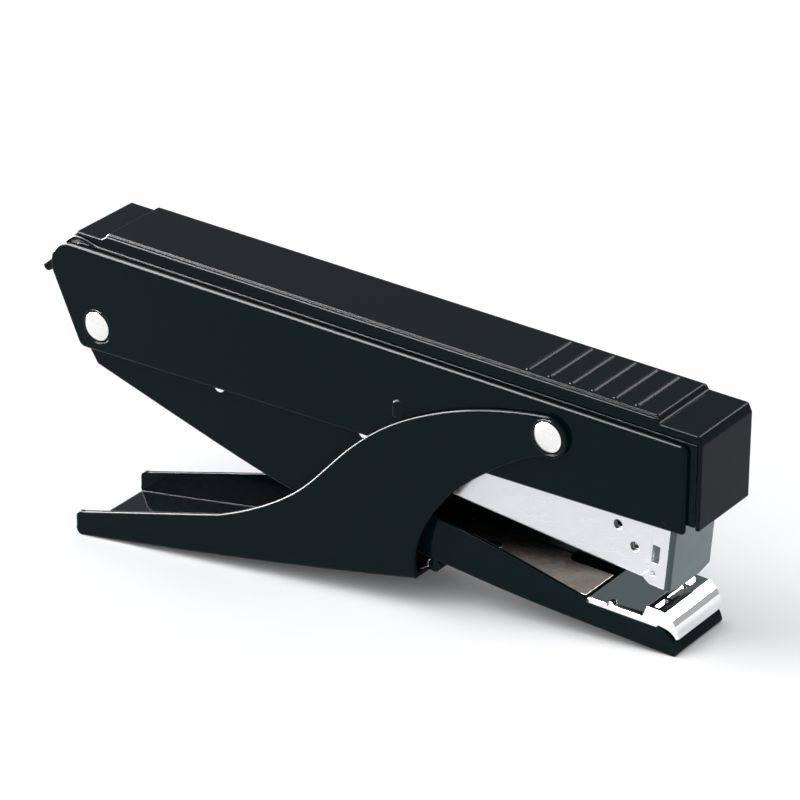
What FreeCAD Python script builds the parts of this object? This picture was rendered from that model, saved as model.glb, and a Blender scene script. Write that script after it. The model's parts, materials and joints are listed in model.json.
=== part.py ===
import FreeCAD, Part
import math
import os
from FreeCAD import Vector

# A plier stapler of pressed steel, in millimetres. Every piece is drawn in the frame of the upper body:
# u runs forward along the body, v to the left, w up, and the origin is the front end of the raised pad on
# the cover. At the end the whole tool is pitched nose-down until it stands on the heel of its handle and
# the tip of its arm.

# Sheet layers, as half-widths from the centre plane, from the outside in
HANDLE_OUT, HANDLE_IN = 13.1, 12.1
PLATE_OUT, PLATE_IN = 11.75, 10.65
CHANNEL_OUT, CHANNEL_IN = 10.45, 9.8
COVER_OUT, COVER_IN = 10.3, 9.4
PAD_HALF = 9.4
ARM_OUT, ARM_IN = 9.65, 8.65
NOSE_OUT, NOSE_IN = 9.05, 8.25
NOSE_BEND = 1.25
ANVIL_HALF = 9.2
MAGAZINE_OUT, MAGAZINE_IN = 8.2, 7.4
TRACK_OUT, TRACK_IN = 7.35, 6.65
STAPLE_HALF = 6.4
RAIL_OUT, RAIL_IN = 5.7, 5.1
BLADE_HALF = 6.3

# Pivots and the pins through them
FRONT_PIVOT = (-26.4, -12.3)
REAR_PIVOT = (-158.25, -24.55)
PIN_RADIUS = 2.5
RUNNING_RADIUS = 2.55
HEAD_RADIUS = 3.7
HEAD_HEIGHT = 1.35
HEAD_RIM = 0.25
HEAD_FLAT = 0.3
DISH_RADIUS = 4.3
DISH_DEPTH = 0.25
HEAD_GAP = 0.03
WASHER_RADIUS = 4.6
WASHER_FACE = 12.05
SPACER_RADIUS = 3.0
BLADE_RIVET = 1.1
BLADE_RIVET_PLACES = [(-2.0, -3.6), (-2.0, 3.6)]
ARM_RIVET = 0.9
ARM_RIVET_PLACES = [(-122.1, -30.3), (-79.4, -29.2)]
LEAF_RIVET = 1.3
LEAF_RIVET_PLACE = -50.0

# Cover: a raised pad on a shell whose front end turns down as a square cap
COVER_REAR, PAD_REAR, PAD_FRONT, CAP_FRONT = -164.9, -155.4, 0.0, 12.0
COVER_BOTTOM = -3.6
CHANNEL_FRONT, CHANNEL_BOTTOM = 10.85, -24.0
SHOULDER = -0.45
STEP_TOP = -1.55
CAP_BOTTOM = -24.8
SHELL = 1.1
RIDGE_FIRST, RIDGE_PITCH, RIDGE_COUNT = -35.15, 5.78, 6
RIDGE_HALF, RIDGE_RADIUS, RIDGE_HEIGHT = 8.1, 0.55, 0.34

# Magazine, drawn along its own length: s forward from the rear pivot, t up
MAGAZINE_TILT = 4.4
MAGAZINE_BOTTOM, MAGAZINE_TOP = -6.4, 10.5
MAGAZINE_SHEET = 0.8
NOSE_FACE = 163.1
NOSE_SHEET = 0.8
NOSE_TOP = 9.6
NOSE_SIDE_BOTTOM, NOSE_BOTTOM, NOSE_FLAT = -6.1, -7.3, 4.2
GUIDE_BOTTOM, GUIDE_HALF = -7.4, 7.6
SIGHT_HOLES = [(148.0, 4.85), (152.85, 1.05)]
STRIP_FRONT, STRIP_LENGTH = 160.9, 50.2
CROWN_TOP, LEG_BOTTOM, WIRE = 1.1, -5.0, 0.5
ROD_HEIGHT, ROD_RADIUS, ROD_HOLE = 5.2, 1.0, 1.05
PUSHER_FRONT, PUSHER_LENGTH = 109.2, 12.0
REAR_BRACKET, FRONT_BRACKET, BRACKET_SHEET = 19.0, 149.0, 1.0
COIL_RADIUS, COIL_WIRE, COIL_TURNS = 1.75, 0.25, 22

# Driver blade, square to a line tilted by BLADE_TILT through the rear pivot
BLADE_TILT = 2.6
BLADE_REACH, BLADE_SHEET = 161.65, 0.6
BLADE_LOW, BLADE_HIGH = -3.8, 27.07

HANDLE_SHEET = 1.05
CONTACT_RADIUS = 0.8
HEEL = (-165.0, -83.5)
TIP = (6.9, -58.8)
FIELD_REAR, FIELD_TOP, FIELD_SHEET = -17.2, -52.0, 0.75
SEAT = FIELD_TOP - FIELD_SHEET - 0.03
RIM_TOP, HOOK_REAR, HOOK_FRONT = -51.3, -11.9, -10.2
ANVIL_TOP = -48.6
POCKET_LINE, POCKET_MIDDLE, POCKET_HALF, POCKET_DEPTH = 0.8, 6.3, 1.9, 0.7
BEAD = (-59.8, -57.95)
BEAD_RADIUS = 1.7


def at(point, v=0.0):
    return Vector(point[0], v, point[1])


def rounded_wire(corners):
    """A closed outline in the side plane. Each corner is (u, w, radius)."""
    runs = []
    count = len(corners)
    for i in range(count):
        here = at(corners[i])
        back = (at(corners[i - 1]) - here).normalize()
        ahead = (at(corners[(i + 1) % count]) - here).normalize()
        radius = corners[i][2]
        if radius == 0:
            runs.append((here, None, here))
            continue
        half = back.getAngle(ahead) / 2
        bisector = (back + ahead).normalize()
        reach = radius / math.tan(half)
        middle = here + bisector * (radius / math.sin(half) - radius)
        runs.append((here + back * reach, middle, here + ahead * reach))
    edges = []
    for i in range(count):
        start, middle, end = runs[i]
        if middle is not None:
            edges.append(Part.Arc(start, middle, end).toShape())
        following = runs[(i + 1) % count][0]
        if end.distanceToPoint(following) > 1e-6:
            edges.append(Part.makeLine(end, following))
    return Part.Wire(edges)


def drawn_wire(start, *steps):
    """A closed outline of lines (a point), arcs ("arc", through, end) and smooth curves ("curve", p,
    q, ..., end)."""
    here = start
    edges = []
    for step in steps:
        if step[0] == "arc":
            edges.append(Part.Arc(at(here), at(step[1]), at(step[2])).toShape())
            here = step[2]
        elif step[0] == "curve":
            spline = Part.BSplineCurve()
            spline.interpolate([at(here)] + [at(p) for p in step[1:]])
            edges.append(spline.toShape())
            here = step[-1]
        else:
            edges.append(Part.makeLine(at(here), at(step)))
            here = step
    if at(here).distanceToPoint(at(start)) > 1e-6:
        edges.append(Part.makeLine(at(here), at(start)))
    return Part.Wire(edges)


def slab(wire, low, high):
    """The outline extruded across the width from v = low to v = high."""
    face = Part.Face(wire)
    face.translate(Vector(0, low, 0))
    return face.extrude(Vector(0, high - low, 0))


def across(wire, half):
    return slab(wire, -half, half)


def block(u, v, w):
    """A box from three (low, high) pairs."""
    return Part.makeBox(u[1] - u[0], v[1] - v[0], w[1] - w[0], Vector(u[0], v[0], w[0]))


def round_bar(centre, radius, low, high):
    return Part.makeCylinder(radius, high - low, at(centre, low), Vector(0, 1, 0))


def other_side(shape):
    return shape.mirror(Vector(0, 0, 0), Vector(0, 1, 0))


def both_sides(shape):
    return Part.makeCompound([shape, other_side(shape)])


def fused(shapes):
    return shapes[0].multiFuse(shapes[1:]).removeSplitter()


def rounded(shape, radius, chosen):
    """Fillets every edge whose box, as (low corner, high corner), the function chosen accepts."""
    edges = []
    for edge in shape.Edges:
        box = edge.BoundBox
        if chosen((box.XMin, box.YMin, box.ZMin), (box.XMax, box.YMax, box.ZMax)):
            edges.append(edge)
    return shape.makeFillet(radius, edges)


def near(a, b, slack=0.02):
    return abs(a - b) < slack


def on_outer_face(v):
    """Accepts the edges that lie in either outer face, at v and -v."""
    return lambda low, high: near(abs(low[1]), v) and near(low[1], high[1])


def domed_rivet(pivot, seat):
    """A shaft through both sides with a shallow dome over each seat."""
    top = seat + HEAD_HEIGHT
    rim = seat + HEAD_RIM
    shoulder = (HEAD_RADIUS * 0.72, seat + HEAD_HEIGHT * 0.72)
    profile = Part.Wire([
        Part.makeLine(Vector(0, 0, 0), Vector(PIN_RADIUS, 0, 0)),
        Part.makeLine(Vector(PIN_RADIUS, 0, 0), Vector(PIN_RADIUS, seat, 0)),
        Part.makeLine(Vector(PIN_RADIUS, seat, 0), Vector(HEAD_RADIUS, seat, 0)),
        Part.makeLine(Vector(HEAD_RADIUS, seat, 0), Vector(HEAD_RADIUS, rim, 0)),
        Part.Arc(Vector(HEAD_RADIUS, rim, 0), Vector(*shoulder, 0), Vector(HEAD_FLAT, top, 0)).toShape(),
        Part.makeLine(Vector(HEAD_FLAT, top, 0), Vector(0, top, 0)),
        Part.makeLine(Vector(0, top, 0), Vector(0, 0, 0)),
    ])
    half = Part.Face(profile).revolve(Vector(0, 0, 0), Vector(0, 1, 0), 360)
    whole = half.fuse(other_side(half)).removeSplitter()
    whole.translate(at(pivot))
    return whole


# ---------------------------------------------------------------- frame

def side_plate():
    """The right-hand side plate: a flat pressing with a rolled top edge, a dished rivet seat and a
    small stop."""
    outline = rounded_wire([
        (8.95, -26.3, 1.0), (8.95, -4.45, 1.6), (-175.9, -4.6, 6.7), (-163.85, -31.5, 2.2),
    ])
    plate = slab(outline, -PLATE_OUT, -PLATE_IN)
    plate = rounded(plate, 0.85, lambda low, high: near(low[1], -PLATE_OUT) and near(high[1], -PLATE_OUT))
    stop = slab(rounded_wire([
        (-69.8, -21.0, 0.4), (-69.8, -16.6, 1.5), (-66.6, -16.6, 1.5), (-66.6, -21.0, 0.4),
    ]), -PLATE_OUT - 0.25, -PLATE_OUT + 0.3)
    stop = rounded(stop, 0.22, lambda low, high: high[1] < -PLATE_OUT - 0.2)
    plate = plate.fuse(stop)
    dish = round_bar(REAR_PIVOT, DISH_RADIUS, -PLATE_OUT - 1, -PLATE_OUT + DISH_DEPTH)
    holes = [round_bar(p, PIN_RADIUS, -20, 0) for p in (FRONT_PIVOT, REAR_PIVOT)]
    return plate.cut(fused([dish] + holes)).removeSplitter()


def ear_washers():
    """Thin washers that hold the handle's ears off the side plates."""
    ring = round_bar(FRONT_PIVOT, WASHER_RADIUS, PLATE_OUT, WASHER_FACE)
    return both_sides(ring.cut(round_bar(FRONT_PIVOT, PIN_RADIUS, 0, 20)))


def front_spacer():
    tube = round_bar(FRONT_PIVOT, SPACER_RADIUS, -PLATE_IN, PLATE_IN)
    return tube.cut(round_bar(FRONT_PIVOT, PIN_RADIUS, -PLATE_IN, PLATE_IN))


# ---------------------------------------------------------------- cover

def top_cover():
    """The outer cover: side walls, shoulder, raised pad with thumb ridges, and the square front cap."""
    shell = across(rounded_wire([
        (COVER_REAR, -2.35, 0), (COVER_REAR, STEP_TOP, 0.5), (PAD_REAR - 1.6, STEP_TOP, 0.6),
        (PAD_REAR, SHOULDER, 0.6), (PAD_FRONT, SHOULDER, 0.5), (PAD_FRONT + 0.8, STEP_TOP, 0.4),
        (CAP_FRONT - 1.0, STEP_TOP, 0.4), (CAP_FRONT, COVER_BOTTOM, 0.6), (CAP_FRONT, CAP_BOTTOM, 0.3),
        (CAP_FRONT - SHELL, CAP_BOTTOM, 0), (CAP_FRONT - SHELL, COVER_BOTTOM, 0), (-157.0, COVER_BOTTOM, 0),
        (-162.0, -2.5, 0),
    ]), COVER_OUT)
    shell = rounded(shell, 0.35, on_outer_face(COVER_OUT))
    pad = across(rounded_wire([
        (PAD_REAR - 1.5, STEP_TOP - 0.5, 0), (PAD_REAR - 1.5, STEP_TOP, 0), (PAD_REAR, 0, 0.4),
        (PAD_FRONT, 0, 0.4), (PAD_FRONT + 0.7, STEP_TOP, 0), (PAD_FRONT + 0.7, STEP_TOP - 0.5, 0),
    ]), PAD_HALF)
    pad = rounded(pad, 0.2, lambda low, high: on_outer_face(PAD_HALF)(low, high) and high[2] > -0.1)
    hollow = across(rounded_wire([
        (COVER_REAR + SHELL, -5.0, 0), (COVER_REAR + SHELL, STEP_TOP - 0.9, 0), (PAD_REAR, STEP_TOP - 0.9, 0),
        (PAD_REAR + 0.5, -SHELL, 0), (PAD_FRONT - 0.5, -SHELL, 0), (PAD_FRONT, STEP_TOP - SHELL, 0),
        (CAP_FRONT - SHELL, STEP_TOP - SHELL, 0), (CAP_FRONT - SHELL, -5.0, 0),
    ]), COVER_IN)
    cover = fused([shell, pad]).cut(hollow)
    ridges = []
    for i in range(RIDGE_COUNT):
        middle = RIDGE_FIRST + i * RIDGE_PITCH
        bar = round_bar((middle, RIDGE_HEIGHT - RIDGE_RADIUS), RIDGE_RADIUS, -RIDGE_HALF, RIDGE_HALF)
        ends = [Part.makeSphere(RIDGE_RADIUS, Vector(middle, v, RIDGE_HEIGHT - RIDGE_RADIUS))
                for v in (-RIDGE_HALF, RIDGE_HALF)]
        ridges.append(fused([bar] + ends))
    return fused([cover] + ridges)


def inner_channel():
    """The channel under the cover: it carries the driver, hinges on the rear pin and ends in a curled
    finger lip."""
    pivot_u, pivot_w = REAR_PIVOT
    walls = slab(drawn_wire(
        (CHANNEL_FRONT, -3.7), (CHANNEL_FRONT, CHANNEL_BOTTOM), (-7.0, CHANNEL_BOTTOM), (-9.0, -8.0),
        (-143.0, -8.0),
        ("curve", (-149.5, -13.0), (pivot_u + 5.5, pivot_w + 0.9)),
        ("arc", (pivot_u, pivot_w - 5.5), (pivot_u - 5.5, pivot_w)),
        ("curve", (-164.2, -17.0), (-166.0, -9.0), (-164.0, -4.2)),
        (-157.0, -3.9),
    ), CHANNEL_IN, CHANNEL_OUT)
    walls = walls.cut(round_bar(REAR_PIVOT, RUNNING_RADIUS, 0, 20))
    web = across(drawn_wire(
        (CHANNEL_FRONT, -3.7), (-157.0, -3.7),
        ("curve", (-161.5, -3.05), (-165.3, -2.8), (-167.9, -4.5), (-169.9, -6.3), (-171.6, -8.5),
         (-173.4, -10.9),
         (-175.2, -12.6)),
        ("arc", (-175.3, -14.4), (-173.3, -13.9)),
        ("curve", (-172.7, -11.9), (-170.9, -9.0), (-169.3, -6.95), (-167.3, -5.2), (-165.0, -3.7),
         (-161.5, -3.85), (-157.0, -4.4)),
        (CHANNEL_FRONT, -4.4),
    ), CHANNEL_OUT)
    web = rounded(web, 0.5, lambda low, high: on_outer_face(CHANNEL_OUT)(low, high) and high[0] - low[0] > 100
                  and low[2] > -3.8)
    holes = [Part.makeCylinder(BLADE_RIVET, 4, Vector(u, v, -7)) for u, v in BLADE_RIVET_PLACES]
    return fused([web, walls, other_side(walls)]).cut(fused(holes))


def driver_blade():
    """The blade that drives a staple out, bent back at the top into a flange under the channel."""
    blade = block((BLADE_REACH - BLADE_SHEET / 2, BLADE_REACH + BLADE_SHEET / 2), (-BLADE_HALF, BLADE_HALF),
                  (BLADE_LOW, BLADE_HIGH))
    blade.rotate(Vector(0, 0, 0), Vector(0, 1, 0), BLADE_TILT)
    blade.translate(at(REAR_PIVOT))
    flange = block((-6.0, 4.6), (-BLADE_HALF, BLADE_HALF), (-5.05, -4.42))
    holes = [Part.makeCylinder(BLADE_RIVET, 4, Vector(u, v, -7)) for u, v in BLADE_RIVET_PLACES]
    return fused([blade, flange]).cut(fused(holes))


def blade_rivets():
    rivets = []
    for u, v in BLADE_RIVET_PLACES:
        shank = Part.makeCylinder(BLADE_RIVET, 1.36, Vector(u, v, -5.06))
        low_head = Part.makeCylinder(1.9, 0.7, Vector(u, v, -5.76))
        high_head = Part.makeCylinder(1.9, 0.6, Vector(u, v, -3.7))
        rivets.append(fused([shank, low_head, high_head]))
    return Part.makeCompound(rivets)


# ---------------------------------------------------------------- magazine

def in_magazine(shape):
    """Carries a shape from the magazine's own length and height to the body's frame."""
    placed = shape.copy()
    placed.rotate(Vector(0, 0, 0), Vector(0, 1, 0), MAGAZINE_TILT)
    placed.translate(at(REAR_PIVOT))
    return placed


def wing_slots():
    """The slot in each side, just behind the nose's bend, through the wing and the magazine's wall."""
    return across(rounded_wire([
        (157.95, 4.15, 0.25), (159.95, 4.15, 0.25), (159.95, -0.35, 0.25), (157.95, -0.35, 0.25),
    ]), 20)


def magazine_channel():
    """The bright outer channel, open at the top, with ears on the rear pin, sight holes and a slot in
    each wall."""
    front = STRIP_FRONT + 0.1
    outside = across(drawn_wire(
        (-5.2, 0.0), ("arc", (0.0, 5.2), (4.6, 2.4)), (14.0, 6.2), (80.0, 6.2), (92.0, MAGAZINE_TOP),
        (front, MAGAZINE_TOP), (front, MAGAZINE_BOTTOM), (8.0, MAGAZINE_BOTTOM),
        ("curve", (2.5, -5.2), (-1.5, -4.98)),
        ("arc", (-4.4, -2.77), (-5.2, 0.0)),
    ), MAGAZINE_OUT)
    outside = rounded(outside, 1.3, lambda low, high: near(low[2], MAGAZINE_BOTTOM)
                      and near(high[2], MAGAZINE_BOTTOM) and high[0] - low[0] > 100)
    inside = block((-10, 200), (-MAGAZINE_IN, MAGAZINE_IN), (MAGAZINE_BOTTOM + MAGAZINE_SHEET, 20))
    rear_open = block((-10, 12), (-MAGAZINE_IN, MAGAZINE_IN), (-10, 20))
    holes = [round_bar((0, 0), RUNNING_RADIUS, -20, 20)]
    holes += [round_bar(place, 1.2, -20, 20) for place in SIGHT_HOLES]
    return in_magazine(outside.cut(fused([inside, rear_open])).cut(fused(holes)).cut(wing_slots()))


def nose_plate():
    """The plate wrapped round the magazine's front end, with side wings that are slotted and dimpled."""
    wings = across(rounded_wire([
        (157.8, NOSE_TOP, 0.3), (NOSE_FACE, NOSE_TOP, 0), (NOSE_FACE, NOSE_BOTTOM, 0),
        (NOSE_FACE - NOSE_SHEET, NOSE_BOTTOM, 0), (NOSE_FACE - NOSE_SHEET, NOSE_SIDE_BOTTOM, 0),
        (157.8, NOSE_SIDE_BOTTOM, 0.5), (155.8, -4.7, 0.5), (157.6, -2.8, 0.4),
    ]), NOSE_OUT)
    wings = rounded(wings, NOSE_BEND, lambda low, high: near(low[0], NOSE_FACE) and near(high[0], NOSE_FACE)
                    and high[2] - low[2] > 10)
    hollow = block((150, NOSE_FACE - NOSE_SHEET), (-NOSE_IN, NOSE_IN), (-20, 20))
    dimples = round_bar((158.75, -3.08), 0.6, -20, 20)
    corner = Part.Face(Part.makePolygon([
        Vector(NOSE_FACE - 2, 10, NOSE_BOTTOM - 1), Vector(NOSE_FACE - 2, NOSE_FLAT, NOSE_BOTTOM - 1),
        Vector(NOSE_FACE - 2, NOSE_FLAT, NOSE_BOTTOM), Vector(NOSE_FACE - 2, NOSE_OUT, NOSE_SIDE_BOTTOM),
        Vector(NOSE_FACE - 2, 10, NOSE_SIDE_BOTTOM), Vector(NOSE_FACE - 2, 10, NOSE_BOTTOM - 1),
    ])).extrude(Vector(4, 0, 0))
    return in_magazine(wings.cut(fused([hollow, wing_slots(), dimples, corner, other_side(corner)])))


def exit_guide():
    """The block under the magazine's front end, behind the nose plate, that steadies a staple as it
    leaves."""
    guide = block((157.2, STRIP_FRONT - 0.05), (-GUIDE_HALF, GUIDE_HALF), (GUIDE_BOTTOM, MAGAZINE_BOTTOM))
    guide = rounded(guide, 0.3, lambda low, high: near(low[2], GUIDE_BOTTOM) and near(high[2], GUIDE_BOTTOM))
    return in_magazine(guide)


def staple_track():
    """The inner channel that guides the staples' legs."""
    outside = block((14.0, STRIP_FRONT - 0.1), (-TRACK_OUT, TRACK_OUT), (-5.55, 6.0))
    inside = block((10.0, 170.0), (-TRACK_IN, TRACK_IN), (-5.05, 10.0))
    exit_slot = block((STRIP_FRONT - 1.0, 170.0), (-TRACK_IN, TRACK_IN), (-10.0, 10.0))
    holes = [round_bar(place, 0.9, -20, 20) for place in SIGHT_HOLES]
    return in_magazine(outside.cut(fused([inside, exit_slot] + holes)))


def staple_rail():
    """The core that the staples straddle, an upside-down channel."""
    top = CROWN_TOP - WIRE - 0.05
    outside = block((22.0, STRIP_FRONT - 1.2), (-RAIL_OUT, RAIL_OUT), (LEG_BOTTOM, top))
    inside = block((20.0, 160.0), (-RAIL_IN, RAIL_IN), (LEG_BOTTOM - 1, top - 0.6))
    return in_magazine(outside.cut(inside))


def staple_strip():
    """A strip of glued staples: legs down, crown across the rail."""
    rear = STRIP_FRONT - STRIP_LENGTH
    outside = block((rear, STRIP_FRONT), (-STAPLE_HALF, STAPLE_HALF), (LEG_BOTTOM, CROWN_TOP))
    inside = block((rear - 1, STRIP_FRONT + 1), (-STAPLE_HALF + WIRE, STAPLE_HALF - WIRE),
                   (LEG_BOTTOM - 1, CROWN_TOP - WIRE))
    return in_magazine(outside.cut(inside))


def rear_bracket():
    plate = block((REAR_BRACKET - BRACKET_SHEET, REAR_BRACKET), (-TRACK_IN, TRACK_IN), (-5.05, 8.4))
    return in_magazine(plate.cut(rod_bore(ROD_RADIUS)))


def front_bracket():
    plate = block((FRONT_BRACKET, FRONT_BRACKET + BRACKET_SHEET), (-TRACK_IN, TRACK_IN),
                  (CROWN_TOP + 0.5, 8.4))
    return in_magazine(plate.cut(rod_bore(ROD_RADIUS)))


def rod_bore(radius):
    return Part.makeCylinder(radius, 300, Vector(-20, 0, ROD_HEIGHT), Vector(1, 0, 0))


def guide_rod():
    length = FRONT_BRACKET + BRACKET_SHEET - REAR_BRACKET + BRACKET_SHEET + 1.6
    rod = Part.makeCylinder(ROD_RADIUS, length, Vector(REAR_BRACKET - BRACKET_SHEET - 0.8, 0, ROD_HEIGHT),
                            Vector(1, 0, 0))
    return in_magazine(rod)


def pusher():
    """The follower that straddles the rail, rides on the rod and presses the strip forward."""
    rear = PUSHER_FRONT - PUSHER_LENGTH
    saddle = block((rear, PUSHER_FRONT), (-STAPLE_HALF, STAPLE_HALF), (-4.8, CROWN_TOP))
    saddle = saddle.cut(block((rear - 1, PUSHER_FRONT + 1), (-5.8, 5.8), (-6.0, CROWN_TOP - WIRE)))
    lug = block((rear, PUSHER_FRONT - 3.0), (-3.0, 3.0), (CROWN_TOP - 0.1, 7.8))
    lug = rounded(lug, 0.8, lambda low, high: near(low[2], 7.8) and high[0] - low[0] > 5)
    return in_magazine(fused([saddle, lug]).cut(rod_bore(ROD_HOLE)))


def pusher_spring():
    """The long spring on the rod behind the pusher."""
    start = REAR_BRACKET + 0.4
    length = PUSHER_FRONT - PUSHER_LENGTH - 0.4 - start
    helix = Part.makeHelix(length / COIL_TURNS, length, COIL_RADIUS)
    section = Part.Wire(Part.makeCircle(COIL_WIRE, Vector(COIL_RADIUS, 0, 0), Vector(0, 1, 0)))
    coil = Part.Wire(helix).makePipeShell([section], True, True)
    coil.rotate(Vector(0, 0, 0), Vector(0, 1, 0), 90)
    coil.translate(Vector(start, 0, ROD_HEIGHT))
    return in_magazine(coil)


# ---------------------------------------------------------------- anvil arm

def anvil_arm():
    """The lower jaw: a channel open at the top, nested between the side plates at the rear, rounded at
    the tip."""
    pivot_u, pivot_w = REAR_PIVOT
    tip_u, tip_w = TIP
    bulge = CONTACT_RADIUS * (1 - math.sqrt(0.5))
    outline = drawn_wire(
        (pivot_u - 6.0, pivot_w), ("arc", (pivot_u, pivot_w + 6.0), (pivot_u + 6.0, pivot_w)),
        (-149.5, -26.5),
        (-76.0, -26.5),
        ("curve", (-69.0, -31.5), (-64.5, -41.0), (-57.0, -45.4)),
        ("curve", (-46.6, -46.7), (-35.4, -48.6), (-24.4, -50.8), (FIELD_REAR - 0.2, -52.1)),
        (FIELD_REAR - 0.2, SEAT), (1.3, SEAT),
        ("curve", (3.4, -53.2), (4.9, -54.3), (6.2, -56.0), (tip_u, tip_w + CONTACT_RADIUS)),
        ("arc", (tip_u - bulge, tip_w + bulge), (tip_u - CONTACT_RADIUS, tip_w)),
        ("curve", (-13.3, -58.4), (-40.8, -57.5), (-57.0, -56.3), (-72.0, -55.0), (-90.0, -53.2),
         (-107.5, -50.1),
         (-128.5, -44.7), (-140.7, -41.3), (-153.0, -37.8)),
        (-160.1, -35.8), (-162.8, -31.6),
    )
    arm = across(outline, ARM_OUT)
    hollow = across(drawn_wire(
        (-175.0, -10.0), (-175.0, -31.0), (-160.0, -35.0), (-152.8, -36.75),
        ("curve", (-140.5, -40.2), (-128.2, -43.7), (-107.3, -49.0), (-89.8, -52.15), (-71.9, -53.95),
         (-56.9, -55.25),
         (-40.7, -56.45), (-13.3, -57.35), (5.2, -57.75)),
        ("curve", (5.0, -56.2), (4.2, -55.0), (3.0, -54.3), (1.3, -53.8)),
        (1.3, -45.0), (-40.0, -10.0),
    ), ARM_IN)
    arm = arm.cut(hollow).cut(round_bar(REAR_PIVOT, RUNNING_RADIUS, -20, 20))
    return arm.cut(fused([round_bar(place, ARM_RIVET, -20, 20) for place in ARM_RIVET_PLACES]))


def arm_rivets():
    """Short rivets with bright heads on the arm's walls, half hidden by the side plates."""
    rivets = []
    for place in ARM_RIVET_PLACES:
        shank = round_bar(place, ARM_RIVET, ARM_IN, ARM_OUT)
        head = round_bar(place, 1.6, ARM_OUT, ARM_OUT + 0.5)
        head = rounded(head, 0.35, lambda low, high: near(low[1], ARM_OUT + 0.5))
        rivets.append(fused([shank, head]))
    return both_sides(Part.makeCompound(rivets))


def anvil_plate():
    """The bright anvil on the front of the arm: a low field between rims, then a block with pockets
    and a round lip."""
    body = across(drawn_wire(
        (FIELD_REAR, FIELD_TOP - FIELD_SHEET), (FIELD_REAR, FIELD_TOP), (-2.6, FIELD_TOP),
        (-1.6, ANVIL_TOP - 0.5), ("arc", (-1.45, ANVIL_TOP - 0.15), (-1.1, ANVIL_TOP)),
        (2.8, ANVIL_TOP), ("arc", (3.68, ANVIL_TOP - 0.215), (4.36, ANVIL_TOP - 0.81)),
        ("curve", (5.6, -50.5), (6.6, -52.3), (7.2, -54.3)),
        (6.5, -54.6),
        ("curve", (5.2, -53.3), (3.6, -52.75), (1.5, -52.7)),
    ), ANVIL_HALF)
    rims = []
    for low, high in ((-ARM_OUT, -NOSE_OUT), (NOSE_OUT, ARM_OUT)):
        rims.append(slab(rounded_wire([
            (FIELD_REAR + 0.6, SEAT + 0.03, 0), (FIELD_REAR + 0.6, RIM_TOP, 0.3), (HOOK_REAR, RIM_TOP, 0.2),
            (HOOK_REAR, RIM_TOP - 0.6, 0.1), (HOOK_FRONT, RIM_TOP - 0.6, 0.1), (HOOK_FRONT, RIM_TOP, 0.2),
            (0.9, RIM_TOP - 0.1, 0.4), (2.0, -52.3, 0.3), (1.4, SEAT + 0.03, 0),
        ]), low, high))
    section = rounded_wire([
        (POCKET_LINE, ANVIL_TOP - POCKET_DEPTH, 0.2),
        (POCKET_LINE + 2 * POCKET_DEPTH, ANVIL_TOP + POCKET_DEPTH, 0),
        (POCKET_LINE - 2 * POCKET_DEPTH, ANVIL_TOP + POCKET_DEPTH, 0),
    ])
    pocket = slab(section, POCKET_MIDDLE - POCKET_HALF, POCKET_MIDDLE + POCKET_HALF)
    groove = round_bar((POCKET_LINE, ANVIL_TOP + 0.55), 0.9, -3.2, 3.2)
    plate = fused([body] + rims).cut(fused([pocket, other_side(pocket), groove]))
    hook = block((HOOK_REAR + 0.3, HOOK_FRONT - 0.3), (-NOSE_OUT, -NOSE_OUT + 1.6),
                 (FIELD_TOP - 0.1, RIM_TOP + 0.3))
    return fused([plate, hook, other_side(hook)])


def arm_leaf():
    """A thin leaf on the arm's floor: full width at the rear, a narrower tongue under the anvil."""
    leaf = across(rounded_wire([
        (-62.0, -54.75, 0), (-20.0, -54.35, 0), (-20.0, -53.85, 0), (-62.0, -54.25, 0),
    ]), 8.3)
    for side in (-1, 1):
        cut = block((-33.0, -10.0), (5.6, 9.0) if side > 0 else (-9.0, -5.6), (-58.0, -50.0))
        cut = rounded(cut, 2.5, lambda low, high: near(low[0], -33.0) and near(high[0], -33.0)
                      and near(abs(low[1]), 5.6) and near(abs(high[1]), 5.6))
        leaf = leaf.cut(cut)
    return leaf.cut(Part.makeCylinder(LEAF_RIVET, 10, Vector(LEAF_RIVET_PLACE, 0, -58)))


def leaf_rivet():
    """The stud that fixes the leaf to the arm's floor."""
    stud = Part.makeCylinder(LEAF_RIVET, 1.9, Vector(LEAF_RIVET_PLACE, 0, -55.7))
    head = Part.makeCylinder(2.3, 0.7, Vector(LEAF_RIVET_PLACE, 0, -54.1))
    return fused([stud, head])


def return_spring():
    """A bowed leaf that stands on the arm's floor and pushes the magazine up."""
    return across(drawn_wire(
        (-132.0, -42.0),
        ("curve", (-120.0, -38.6), (-104.0, -36.6), (-92.0, -41.0), (-82.0, -52.5)),
        (-82.6, -52.85),
        ("curve", (-92.5, -41.5), (-104.0, -37.1), (-119.9, -39.1), (-131.8, -42.45)),
    ), 6.0)


# ---------------------------------------------------------------- handle

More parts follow.
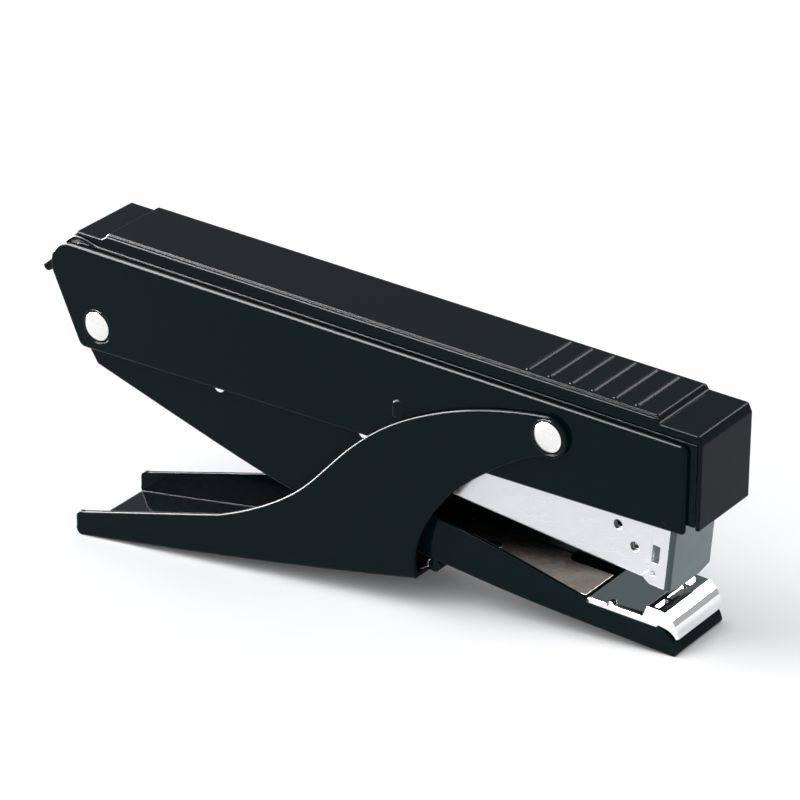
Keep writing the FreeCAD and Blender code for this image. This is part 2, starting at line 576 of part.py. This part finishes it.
def handle():
    """The squeezing lever: a channel whose walls sweep up into ears on the front pin; its floor ends
    in a bead."""
    pivot_u, pivot_w = FRONT_PIVOT
    heel_u, heel_w = HEEL
    outline = drawn_wire(
        (heel_u, heel_w), ("arc", (heel_u - 1.15, heel_w + 0.85), (heel_u - 1.25, heel_w + 2.4)),
        (heel_u - 1.25, heel_w + 4.6), ("arc", (heel_u - 0.75, heel_w + 6.1), (heel_u + 1.2, heel_w + 6.9)),
        (-121.3, -63.4),
        ("curve", (-109.3, -57.5), (-95.7, -47.8), (-84.1, -35.3), (-71.1, -23.8), (-58.4, -16.5),
         (-44.6, -11.1),
         (-33.8, -8.4), (-27.6, -7.35)),
        ("arc", (pivot_u + 5.05, pivot_w + 0.7), (-27.4, -17.35)),
        ("curve", (-33.7, -20.4), (-42.2, -26.2), (-50.4, -33.0), (-58.1, -42.8), (-62.1, -51.9),
         (-62.5, -60.0)),
        (-62.5, -60.9),
        ("arc", (-105.5, -71.1), (heel_u, heel_w)),
    )
    body = across(outline, HANDLE_OUT)
    hollow = across(drawn_wire(
        (-180.0, heel_w - 2.3), (heel_u, heel_w + HANDLE_SHEET),
        ("arc", (-105.5, -71.1 + HANDLE_SHEET), (-62.5, -60.9 + HANDLE_SHEET)),
        (-40.0, -54.0), (-10.0, -20.0), (-10.0, 5.0), (-180.0, 5.0),
    ), HANDLE_IN)
    body = body.cut(hollow)
    body = rounded(body, 0.35, on_outer_face(HANDLE_OUT))
    tongue = across(drawn_wire(
        (-64.5, -61.3), (-60.7, -59.4), (-60.3, -57.6), (-61.6, -58.9), (-64.5, -60.5),
    ), ARM_OUT - 0.25)
    bead = round_bar(BEAD, BEAD_RADIUS, -ARM_OUT + 0.25, ARM_OUT - 0.25)
    body = fused([body, tongue, bead])
    holes = round_bar(FRONT_PIVOT, PIN_RADIUS + 0.05, -20, 20)
    dishes = [round_bar(FRONT_PIVOT, DISH_RADIUS, HANDLE_OUT - DISH_DEPTH, 20),
              round_bar(FRONT_PIVOT, DISH_RADIUS, -20, -HANDLE_OUT + DISH_DEPTH)]
    return body.cut(fused([holes] + dishes))


# ---------------------------------------------------------------- assembly

def pieces():
    """Every piece by node name, in the body's frame."""
    plate = side_plate()
    return {
        "side_plate_right": plate,
        "side_plate_left": other_side(plate),
        "front_pin": domed_rivet(FRONT_PIVOT, HANDLE_OUT - DISH_DEPTH + HEAD_GAP),
        "rear_pin": domed_rivet(REAR_PIVOT, PLATE_OUT - DISH_DEPTH),
        "front_spacer": front_spacer(),
        "ear_washers": ear_washers(),
        "top_cover": top_cover(),
        "inner_channel": inner_channel(),
        "driver_blade": driver_blade(),
        "blade_rivets": blade_rivets(),
        "magazine_channel": magazine_channel(),
        "nose_plate": nose_plate(),
        "exit_guide": exit_guide(),
        "staple_track": staple_track(),
        "staple_rail": staple_rail(),
        "staple_strip": staple_strip(),
        "rear_bracket": rear_bracket(),
        "front_bracket": front_bracket(),
        "guide_rod": guide_rod(),
        "pusher": pusher(),
        "pusher_spring": pusher_spring(),
        "anvil_arm": anvil_arm(),
        "arm_rivets": arm_rivets(),
        "anvil_plate": anvil_plate(),
        "arm_leaf": arm_leaf(),
        "leaf_rivet": leaf_rivet(),
        "return_spring": return_spring(),
        "handle": handle(),
    }


def standing_pitch():
    """The nose-down angle, in degrees, that brings the handle's heel and the arm's tip to one level."""
    rise = (TIP[1] - HEEL[1])
    return math.degrees(math.atan2(rise, TIP[0] - CONTACT_RADIUS - HEEL[0]))


def stand_up(shapes):
    """Pitches every piece, then moves it so that the origin is below the middle of the whole, on the
    floor."""
    pitch = standing_pitch()
    for shape in shapes.values():
        shape.rotate(Vector(0, 0, 0), Vector(0, 1, 0), pitch)
    box = FreeCAD.BoundBox()
    for shape in shapes.values():
        box.add(shape.optimalBoundingBox(False, False))
    shift = Vector(-(box.XMin + box.XMax) / 2, 0, -box.ZMin)
    for shape in shapes.values():
        shape.translate(shift)
    return pitch, shift


def main():
    os.makedirs("parts", exist_ok=True)
    shapes = pieces()
    stand_up(shapes)
    for name, shape in shapes.items():
        shape.exportStep(f"parts/{name}.step")


if __name__ == "__main__":
    main()
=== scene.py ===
import json
import math

import bmesh
import bpy
from mathutils import Matrix, Vector


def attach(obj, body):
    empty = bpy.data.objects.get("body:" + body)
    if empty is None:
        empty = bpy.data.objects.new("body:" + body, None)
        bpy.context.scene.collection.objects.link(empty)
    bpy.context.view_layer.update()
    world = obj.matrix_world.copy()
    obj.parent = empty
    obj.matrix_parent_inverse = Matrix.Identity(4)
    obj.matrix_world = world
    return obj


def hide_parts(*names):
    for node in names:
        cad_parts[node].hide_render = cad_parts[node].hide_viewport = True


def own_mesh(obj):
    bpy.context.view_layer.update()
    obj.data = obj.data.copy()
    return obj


# A plier stapler on a pale floor. Points given as (u, v, w) are millimetres in the upper body's own
# frame, whose origin is the front end of the raised pad: u forward, v to the left, w up. Everything
# built is in metres.

MM = 0.001
FRONT_PIVOT = (-26.4, -12.3)
REAR_PIVOT = (-158.25, -24.55)

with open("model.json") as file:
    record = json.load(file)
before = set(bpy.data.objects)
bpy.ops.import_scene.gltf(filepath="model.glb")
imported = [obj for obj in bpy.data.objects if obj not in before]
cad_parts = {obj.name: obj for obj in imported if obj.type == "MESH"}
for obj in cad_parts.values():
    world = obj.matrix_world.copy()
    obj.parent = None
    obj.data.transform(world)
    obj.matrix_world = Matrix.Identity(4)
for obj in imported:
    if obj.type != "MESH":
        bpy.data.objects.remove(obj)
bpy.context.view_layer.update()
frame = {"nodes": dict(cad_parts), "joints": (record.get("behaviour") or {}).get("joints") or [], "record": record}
joints = {joint["name"]: joint for joint in frame["joints"]}


# ---------------------------------------------------------------- from the body's frame to the row's frame

def body_placement():
    """The turn and shift that carry the body's frame to the frame the tool stands in, from its two pivots."""
    front = Vector(joints["handle_squeeze"]["pos_m"])
    rear = Vector(joints["arm_close"]["pos_m"])
    drawn = math.atan2(FRONT_PIVOT[1] - REAR_PIVOT[1], FRONT_PIVOT[0] - REAR_PIVOT[0])
    stood = math.atan2(front.z - rear.z, front.x - rear.x)
    turn = Matrix.Rotation(drawn - stood, 4, "Y")
    shift = front - turn @ (Vector((FRONT_PIVOT[0], 0, FRONT_PIVOT[1])) * MM)
    return Matrix.Translation(shift) @ turn


PLACE = body_placement()


def spot(u, v, w):
    return PLACE @ (Vector((u, v, w)) * MM)


# ---------------------------------------------------------------- material tools

BEVEL_SAMPLES = 6
EDGE_TURN = (0.86, 0.995)


class Nodes:
    """A small helper that adds shader nodes and links them."""

    def __init__(self, name):
        self.material = bpy.data.materials.new(name)
        self.material.use_nodes = True
        self.tree = self.material.node_tree
        self.shader = self.tree.nodes["Principled BSDF"]
        self.where = self.add("ShaderNodeTexCoord").outputs["Object"]

    def add(self, kind, **values):
        node = self.tree.nodes.new(kind)
        for name, value in values.items():
            setattr(node, name, value)
        return node

    def join(self, out, into):
        self.tree.links.new(out, into)

    def fixed(self, **values):
        for name, value in values.items():
            self.shader.inputs[name.replace("_", " ")].default_value = value

    def stretched(self, scale):
        mapping = self.add("ShaderNodeMapping")
        mapping.inputs["Scale"].default_value = scale
        self.join(self.where, mapping.inputs["Vector"])
        return mapping.outputs["Vector"]

    def noise(self, scale, detail=3.0, where=None):
        node = self.add("ShaderNodeTexNoise")
        node.inputs["Scale"].default_value = scale
        node.inputs["Detail"].default_value = detail
        self.join(where or self.where, node.inputs["Vector"])
        return node.outputs["Fac"]

    def spread(self, value, low, high, clip=(0.3, 0.7)):
        node = self.add("ShaderNodeMapRange")
        limits = {"From Min": clip[0], "From Max": clip[1], "To Min": low, "To Max": high}
        for name, number in limits.items():
            node.inputs[name].default_value = number
        self.join(value, node.inputs["Value"])
        return node.outputs["Result"]

    def maths(self, operation, *values):
        node = self.add("ShaderNodeMath", operation=operation)
        for socket, value in zip(node.inputs, values):
            if isinstance(value, (int, float)):
                socket.default_value = value
            else:
                self.join(value, socket)
        return node.outputs["Value"]

    def mixed(self, share, first, second):
        node = self.add("ShaderNodeMix", data_type="RGBA")
        self.join(share, node.inputs["Factor"])
        for socket, value in ((node.inputs[6], first), (node.inputs[7], second)):
            if isinstance(value, tuple):
                socket.default_value = value + (1.0,)
            else:
                self.join(value, socket)
        return node.outputs[2]

    def rounded(self, radius):
        """The normal of the surface with its edges rounded to a radius."""
        bevel = self.add("ShaderNodeBevel", samples=BEVEL_SAMPLES)
        bevel.inputs["Radius"].default_value = radius
        return bevel.outputs["Normal"]

    def edge_wear_and_highlight(self, soft):
        """How sharply the surface turns here, from 0 on a flat to 1 on an edge."""
        flat = self.add("ShaderNodeNewGeometry").outputs["Normal"]
        dot = self.add("ShaderNodeVectorMath", operation="DOT_PRODUCT")
        self.join(soft, dot.inputs[0])
        self.join(flat, dot.inputs[1])
        return self.spread(dot.outputs["Value"], 1.0, 0.0, EDGE_TURN)

    def coloured(self, share, first, second):
        self.join(self.mixed(share, first, second), self.shader.inputs["Base Color"])

    def rough(self, roughness):
        self.join(roughness, self.shader.inputs["Roughness"])

    def relief(self, height, depth, normal=None):
        bump = self.add("ShaderNodeBump")
        bump.inputs["Distance"].default_value = depth
        bump.inputs["Strength"].default_value = 1.0
        self.join(height, bump.inputs["Height"])
        if normal is not None:
            self.join(normal, bump.inputs["Normal"])
        self.join(bump.outputs["Normal"], self.shader.inputs["Normal"])


def black_paint():
    """Gloss enamel: a faint orange peel, fine gloss changes, and edges painted lighter, partly as paint thinned by
    wear and partly as a painted highlight.
    """
    m = Nodes("black_paint")
    soft = m.rounded(0.5 * MM)
    patches = m.spread(m.noise(420, 4), 0.0, 1.0)
    # Edges painted a lighter colour: partly wear, partly a painted highlight along every edge.
    share = m.maths("MULTIPLY", m.edge_wear_and_highlight(soft), m.maths("MULTIPLY_ADD", patches, 0.25, 0.5))
    m.coloured(share, (0.0006, 0.0055, 0.0068), (0.018, 0.024, 0.026))
    m.rough(m.spread(m.noise(900, 5), 0.07, 0.13))
    m.fixed(Specular_IOR_Level=0.06)
    m.relief(m.noise(260, 2), 0.004 * MM, soft)
    return m.material


def dimmed(colour, share):
    return tuple(share * channel for channel in colour)


def plated(name, colour, low, high):
    """Nickel plating over rolled sheet: a fine grain along the strip and faint handling marks."""
    m = Nodes(name)
    soft = m.rounded(0.18 * MM)
    grain = m.noise(1.0, 4, m.stretched((300, 6000, 6000)))
    marks = m.noise(180, 6)
    m.coloured(m.spread(marks, 0.0, 1.0), colour, dimmed(colour, 0.94))
    m.rough(m.maths("ADD", m.spread(grain, low, high), m.spread(marks, 0.0, 0.05)))
    m.fixed(Metallic=1.0)
    m.relief(grain, 0.0015 * MM, soft)
    return m.material


def mirror_plate(name, colour):
    """Polished plating on the pressed anvil: a mirror with hairline rub marks from paper."""
    m = Nodes(name)
    soft = m.rounded(0.15 * MM)
    rubs = m.noise(1.0, 3, m.stretched((5000, 260, 5000)))
    m.coloured(m.spread(rubs, 0.0, 1.0), colour, dimmed(colour, 0.92))
    m.rough(m.spread(rubs, 0.03, 0.06))
    m.fixed(Metallic=1.0)
    m.relief(rubs, 0.0001 * MM, soft)
    return m.material


def polished_steel():
    """Polished pin and rivet heads, with a fine uneven gloss."""
    m = Nodes("polished_steel")
    soft = m.rounded(0.12 * MM)
    turned = m.noise(1500, 3)
    m.rough(m.spread(turned, 0.06, 0.12))
    m.coloured(m.spread(turned, 0.0, 1.0), (0.86, 0.85, 0.83), (0.80, 0.79, 0.77))
    m.fixed(Metallic=1.0)
    m.relief(turned, 0.001 * MM, soft)
    return m.material


def bare_steel(name, colour, dark, low, high):
    """Uncoated steel: rolling grain, faint stains and brighter edges."""
    m = Nodes(name)
    soft = m.rounded(0.15 * MM)
    grain = m.noise(1.0, 4, m.stretched((400, 5000, 5000)))
    stains = m.spread(m.noise(240, 6), 0.0, 1.0)
    body = m.mixed(stains, colour, dark)
    m.coloured(m.maths("MULTIPLY", m.edge_wear_and_highlight(soft), 0.5), body, (0.75, 0.75, 0.74))
    m.rough(m.spread(grain, low, high))
    m.fixed(Metallic=1.0)
    m.relief(grain, 0.002 * MM, soft)
    return m.material


def make_materials():
    return {
        "black_paint": black_paint(),
        "bright_plate": plated("bright_plate", (0.68, 0.69, 0.715), 0.16, 0.26),
        "polished_steel": polished_steel(),
        "plain_steel": bare_steel("plain_steel", (0.52, 0.52, 0.53), (0.40, 0.40, 0.41), 0.22, 0.38),
        "spring_steel": bare_steel("spring_steel", (0.34, 0.30, 0.27), (0.22, 0.19, 0.17), 0.25, 0.42),
        "staple_wire": bare_steel("staple_wire", (0.75, 0.75, 0.76), (0.62, 0.62, 0.63), 0.18, 0.30),
    }


MATERIALS = make_materials()
CHROME = mirror_plate("bright_chrome", (0.94, 0.95, 0.95))
# A darker copy of the anvil's mirror plating, as a painted reflection on the flat field and block top.
MIRROR_PAINTED_REFLECTION = mirror_plate("dark_mirror_painted_reflection", (0.14, 0.18, 0.182))
# Nose front face: satin plating darkened as a painted reflection. Nose bends: a dark band as painted shade.
SATIN_PAINTED_REFLECTION = plated("satin_nose_painted_reflection", (0.19, 0.228, 0.235), 0.34, 0.44)
BEND_PAINTED_SHADE = plated("bend_painted_shade", (0.07, 0.09, 0.095), 0.30, 0.40)
# Dark steel for the magazine's underside, as painted shade.
UNDERSIDE_PAINTED_SHADE = bare_steel("underside_painted_shade", (0.030, 0.036, 0.036), (0.022, 0.026, 0.026), 0.30, 0.45)
# The staple track's steel, darkened as painted shade for the recesses it is seen through.
TRACK_PAINTED_SHADE = bare_steel("track_steel_painted_shade", (0.15, 0.17, 0.165), (0.11, 0.125, 0.12), 0.28, 0.42)


def dress_cad_nodes():
    """Gives every CAD node the material of its slot, and the staple track a darker steel as painted shade where it
    is seen in recesses.
    """
    for entry in frame["record"]["subparts"]:
        mesh = frame["nodes"][entry["node"]].data
        mesh.materials.clear()
        mesh.materials.append(MATERIALS[entry["material_slot"]])
    frame["nodes"]["staple_track"].data.materials[0] = TRACK_PAINTED_SHADE


# ---------------------------------------------------------------- detailed pieces

REAR = Vector(joints["magazine_press"]["pos_m"])
FORWARD = Vector(joints["pusher_slide"]["axis"]).normalized()
LEFT = Vector((0, 1, 0))
RISE = FORWARD.cross(LEFT)
NOSE_WRAP_DEPTH = 1.3
SIDEWAYS, FULLY_FORWARD = 0.15, 0.985
ANVIL_RIM = 8.9
LIP_START, LIP_TURN = 2.8, 0.2
FACET_TILT, FACET_SIDEWAYS = 0.35, 0.5
DOWNWARD = -0.8


def copy_of(node, name, body):
    """A new piece with the shape of a CAD node, which it stands for."""
    mesh = frame["nodes"][node].data.copy()
    mesh.name = name
    piece = bpy.data.objects.new(name, mesh)
    bpy.context.scene.collection.objects.link(piece)
    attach(piece, body)
    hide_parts(node)
    return piece


def split_faces(piece, materials, choose):
    """Gives each face of a piece the material whose place in the list the function choose returns."""
    mesh = piece.data
    mesh.materials.clear()
    for material in materials:
        mesh.materials.append(material)
    for face in mesh.polygons:
        face.material_index = choose(face)


def nose():
    """The nose plate, with satin plating darkened on its front face as a painted reflection, and a dark band round
    its two bends as painted shade.
    """
    piece = copy_of("nose_plate", "nose_wrap", "magazine")
    front = max(vertex.co.dot(FORWARD) for vertex in piece.data.vertices) - NOSE_WRAP_DEPTH * MM

    def choose(face):
        facing = face.normal.dot(FORWARD)
        if facing < SIDEWAYS or face.center.dot(FORWARD) < front:
            return 0
        return 1 if facing > FULLY_FORWARD else 2

    split_faces(piece, (MATERIALS["bright_plate"], SATIN_PAINTED_REFLECTION, BEND_PAINTED_SHADE), choose)


def anvil():
    """The anvil: bright rims, hooks, lip and tilted facets round a polished field and block top that are darkened
    as a painted reflection.
    """
    piece = copy_of("anvil_plate", "anvil_chrome", "arm")
    rim = ANVIL_RIM * MM
    lip = spot(LIP_START, 0, 0).x

    def choose(face):
        on_rim = abs(face.center.y) > rim
        on_lip = face.center.x > lip and face.normal.x > LIP_TURN
        tilted = abs(face.normal.x) > FACET_TILT and abs(face.normal.y) < FACET_SIDEWAYS
        return 0 if on_rim or on_lip or tilted else 1

    split_faces(piece, (CHROME, MIRROR_PAINTED_REFLECTION), choose)


def magazine():
    """The magazine's channel, bright on its walls, with dark steel on its downward faces as painted shade."""
    piece = copy_of("magazine_channel", "magazine_body", "magazine")
    split_faces(piece, (MATERIALS["bright_plate"], UNDERSIDE_PAINTED_SHADE), lambda face: int(face.normal.dot(RISE) < DOWNWARD))


# ---------------------------------------------------------------- staples and springs

WIRE = 0.5
STRIP_FRONT, STRIP_LENGTH = 160.9, 50.2
LEG_BOTTOM, CROWN_TOP, STAPLE_HALF, STAPLE_BEND = -5.0, 1.1, 6.4, 0.75
SPRING_START, SPRING_END, ROD_HEIGHT = 19.4, 96.8, 5.2
SPRING_RADIUS, SPRING_WIRE, SPRING_TURNS = 1.75, 0.25, 34
SPRING_STEPS, SPRING_END_CLOSENESS = 20, 0.35
WIRE_SIDES = 8
STAPLE_SPREAD = 0.53
BEND_STEP, BEND_POINTS = 15, 7


def in_magazine(s, v, t):
    """A point from the magazine's length forward of the rear pin, its side and its height, in millimetres."""
    return REAR + (FORWARD * s + LEFT * v + RISE * t) * MM


def swept(bm, rings):
    """Joins rings of points one after another into a closed bar with flat ends."""
    loops = [[bm.verts.new(point) for point in ring] for ring in rings]
    count = len(loops[0])
    for first, second in zip(loops, loops[1:]):
        for i in range(count):
            j = (i + 1) % count
            bm.faces.new((first[i], first[j], second[j], second[i]))
    bm.faces.new(loops[0])
    bm.faces.new(reversed(loops[-1]))


def finished(bm, name, material, slot, body, *nodes):
    """Turns the built mesh into a piece that rides on a body and stands for CAD nodes."""
    bmesh.ops.recalc_face_normals(bm, faces=bm.faces)
    mesh = bpy.data.meshes.new(name)
    bm.to_mesh(mesh)
    bm.free()
    for face in mesh.polygons:
        face.use_smooth = True
    mesh.materials.append(material)
    piece = bpy.data.objects.new(name, mesh)
    bpy.context.scene.collection.objects.link(piece)
    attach(piece, body)
    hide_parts(*nodes)
    return piece


def staple_path():
    """Points and outward directions along one staple, up one leg, over the crown and down the other."""
    half = STAPLE_HALF - WIRE / 2
    top = CROWN_TOP - WIRE / 2
    path = [((-half, LEG_BOTTOM), (-1, 0))]
    for side in (-1, 1):
        turns = [math.radians(BEND_STEP * k) for k in range(BEND_POINTS)]
        for turn in turns if side < 0 else reversed(turns):
            outward = (side * math.cos(turn), math.sin(turn))
            v = side * (half - STAPLE_BEND) + outward[0] * STAPLE_BEND
            t = top - STAPLE_BEND + outward[1] * STAPLE_BEND
            path.append(((v, t), outward))
    path.append(((half, LEG_BOTTOM), (1, 0)))
    return path


def staples():
    """The glued strip as separate wires, each with a flat side towards the next."""
    bm = bmesh.new()
    corners = [math.tau * (k + 0.5) / WIRE_SIDES for k in range(WIRE_SIDES)]
    path = staple_path()
    for k in range(round(STRIP_LENGTH / WIRE)):
        middle = STRIP_FRONT - (k + 0.5) * WIRE
        rings = []
        for (v, t), (out_v, out_t) in path:
            ring = []
            for corner in corners:
                along = middle + math.cos(corner) * WIRE * STAPLE_SPREAD
                out = math.sin(corner) * WIRE / 2
                ring.append(in_magazine(along, v + out_v * out, t + out_t * out))
            rings.append(ring)
        swept(bm, rings)
    finished(bm, "staples", MATERIALS["staple_wire"], "staple_wire", "magazine", "staple_strip")


def pusher_spring():
    """The long coil on the guide rod, with its end turns closer."""
    bm = bmesh.new()
    steps = SPRING_STEPS * SPRING_TURNS
    length = SPRING_END - SPRING_START - 2 * SPRING_WIRE
    rings = []
    for k in range(steps + 1):
        share = k / steps
        turn = math.tau * SPRING_TURNS * share
        eased = share - math.sin(math.tau * share) / math.tau * SPRING_END_CLOSENESS
        out = Vector((0, math.cos(turn), math.sin(turn)))
        ring = []
        for j in range(WIRE_SIDES):
            corner = math.tau * j / WIRE_SIDES
            reach = SPRING_RADIUS + SPRING_WIRE * math.cos(corner)
            along = SPRING_START + SPRING_WIRE + length * eased + SPRING_WIRE * math.sin(corner)
            ring.append(in_magazine(along, out.y * reach, ROD_HEIGHT + out.z * reach))
        rings.append(ring)
    swept(bm, rings)
    steel = MATERIALS["spring_steel"]
    spring = finished(bm, "coil_spring", steel, "spring_steel", "magazine", "pusher_spring")
    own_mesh(spring)


def return_spring():
    """The bowed leaf on the arm's floor."""
    spring = copy_of("return_spring", "bowed_leaf", "arm")
    spring.data.materials.clear()
    spring.data.materials.append(MATERIALS["spring_steel"])
    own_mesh(spring)


# ---------------------------------------------------------------- stage

CAMERA_PLACE = (409.81, -660.39, 405.34)
CAMERA_AZIMUTH = 36.365
CAMERA_ELEVATION = 27.63
CAMERA_LENS = 180.06
SENSOR_WIDTH = 36
FLOOR_HALF = 6.0
FLOOR_GAP = 0.02
LIGHT_AIM_HEIGHT = 0.03
WORLD_BRIGHT_SIDE = (-0.10, -0.80, 0.59)
WORLD_SPAN = (-0.35, 0.55)
WORLD_STRENGTH = (0.45, 1.15)


def look(right, up):
    """A turn whose local x, y and z are right, up and back."""
    back = right.cross(up)
    return Matrix((right, up, back)).transposed().to_4x4()


def make_camera():
    a = math.radians(CAMERA_AZIMUTH)
    e = math.radians(CAMERA_ELEVATION)
    right = Vector((math.cos(a), math.sin(a), 0))
    up = Vector((-math.sin(a) * math.sin(e), math.cos(a) * math.sin(e), math.cos(e)))
    camera = bpy.data.cameras.new("camera")
    camera.lens = CAMERA_LENS
    camera.sensor_width = SENSOR_WIDTH
    camera.clip_start = 0.05
    camera.clip_end = 50
    holder = bpy.data.objects.new("camera", camera)
    bpy.context.scene.collection.objects.link(holder)
    holder.matrix_world = Matrix.Translation(spot(*CAMERA_PLACE)) @ PLACE.to_3x3().to_4x4() @ look(right, up)
    bpy.context.scene.camera = holder


def make_floor():
    mesh = bpy.data.meshes.new("floor")
    corners = [(x * FLOOR_HALF, y * FLOOR_HALF, 0) for x, y in ((-1, -1), (1, -1), (1, 1), (-1, 1))]
    mesh.from_pydata(corners, [], [(0, 1, 2, 3)])
    floor = bpy.data.objects.new("floor", mesh)
    floor.location.z = -FLOOR_GAP * MM
    bpy.context.scene.collection.objects.link(floor)
    m = Nodes("floor")
    m.coloured(m.spread(m.noise(30, 3), 0, 1), (0.93, 0.93, 0.93), (0.95, 0.95, 0.95))
    m.fixed(Roughness=0.9, Specular_IOR_Level=0.0)
    mesh.materials.append(m.material)


def softbox(name, direction, distance, size, power, glint=False):
    """A rectangular light that faces the tool from a direction. A glint only shows in gloss."""
    light = bpy.data.lights.new(name, "AREA")
    light.shape = "RECTANGLE"
    light.size = size[0]
    light.size_y = size[1]
    light.energy = power
    holder = bpy.data.objects.new(name, light)
    toward = Vector(direction).normalized()
    holder.location = toward * distance + Vector((0, 0, LIGHT_AIM_HEIGHT))
    holder.rotation_mode = "QUATERNION"
    holder.rotation_quaternion = toward.to_track_quat("Z", "Y")
    holder.visible_diffuse = not glint
    bpy.context.scene.collection.objects.link(holder)


def make_world():
    """A pale studio, white above the near side and grey behind the tool."""
    world = bpy.data.worlds.new("studio")
    world.use_nodes = True
    tree = world.node_tree
    where = tree.nodes.new("ShaderNodeTexCoord")
    toward = tree.nodes.new("ShaderNodeVectorMath")
    toward.operation = "DOT_PRODUCT"
    toward.inputs[1].default_value = WORLD_BRIGHT_SIDE
    tree.links.new(where.outputs["Generated"], toward.inputs[0])
    strength = tree.nodes.new("ShaderNodeMapRange")
    strength.inputs["From Min"].default_value, strength.inputs["From Max"].default_value = WORLD_SPAN
    strength.inputs["To Min"].default_value, strength.inputs["To Max"].default_value = WORLD_STRENGTH
    tree.links.new(toward.outputs["Value"], strength.inputs["Value"])
    tree.links.new(strength.outputs["Result"], tree.nodes["Background"].inputs["Strength"])
    tree.nodes["Background"].inputs["Color"].default_value = (0.97, 0.99, 1, 1)
    bpy.context.scene.world = world


def make_lights():
    make_world()
    softbox("key", (-0.45, -0.35, 1.0), 1.2, (0.8, 0.8), 4.5)
    softbox("edge_glint", (-0.53, -0.44, 0.69), 1.0, (0.5, 1.0), 130.0, glint=True)
    softbox("lever_glint", (-0.95, -0.05, 0.28), 1.0, (0.6, 0.9), 190.0, glint=True)
    softbox("front_glint", (0.44, 0.71, 0.51), 1.0, (0.8, 0.45), 20.0, glint=True)
    bpy.context.scene.view_settings.view_transform = "Standard"


# ---------------------------------------------------------------- build

dress_cad_nodes()
nose()
anvil()
magazine()
staples()
pusher_spring()
return_spring()
make_floor()
make_lights()
make_camera()
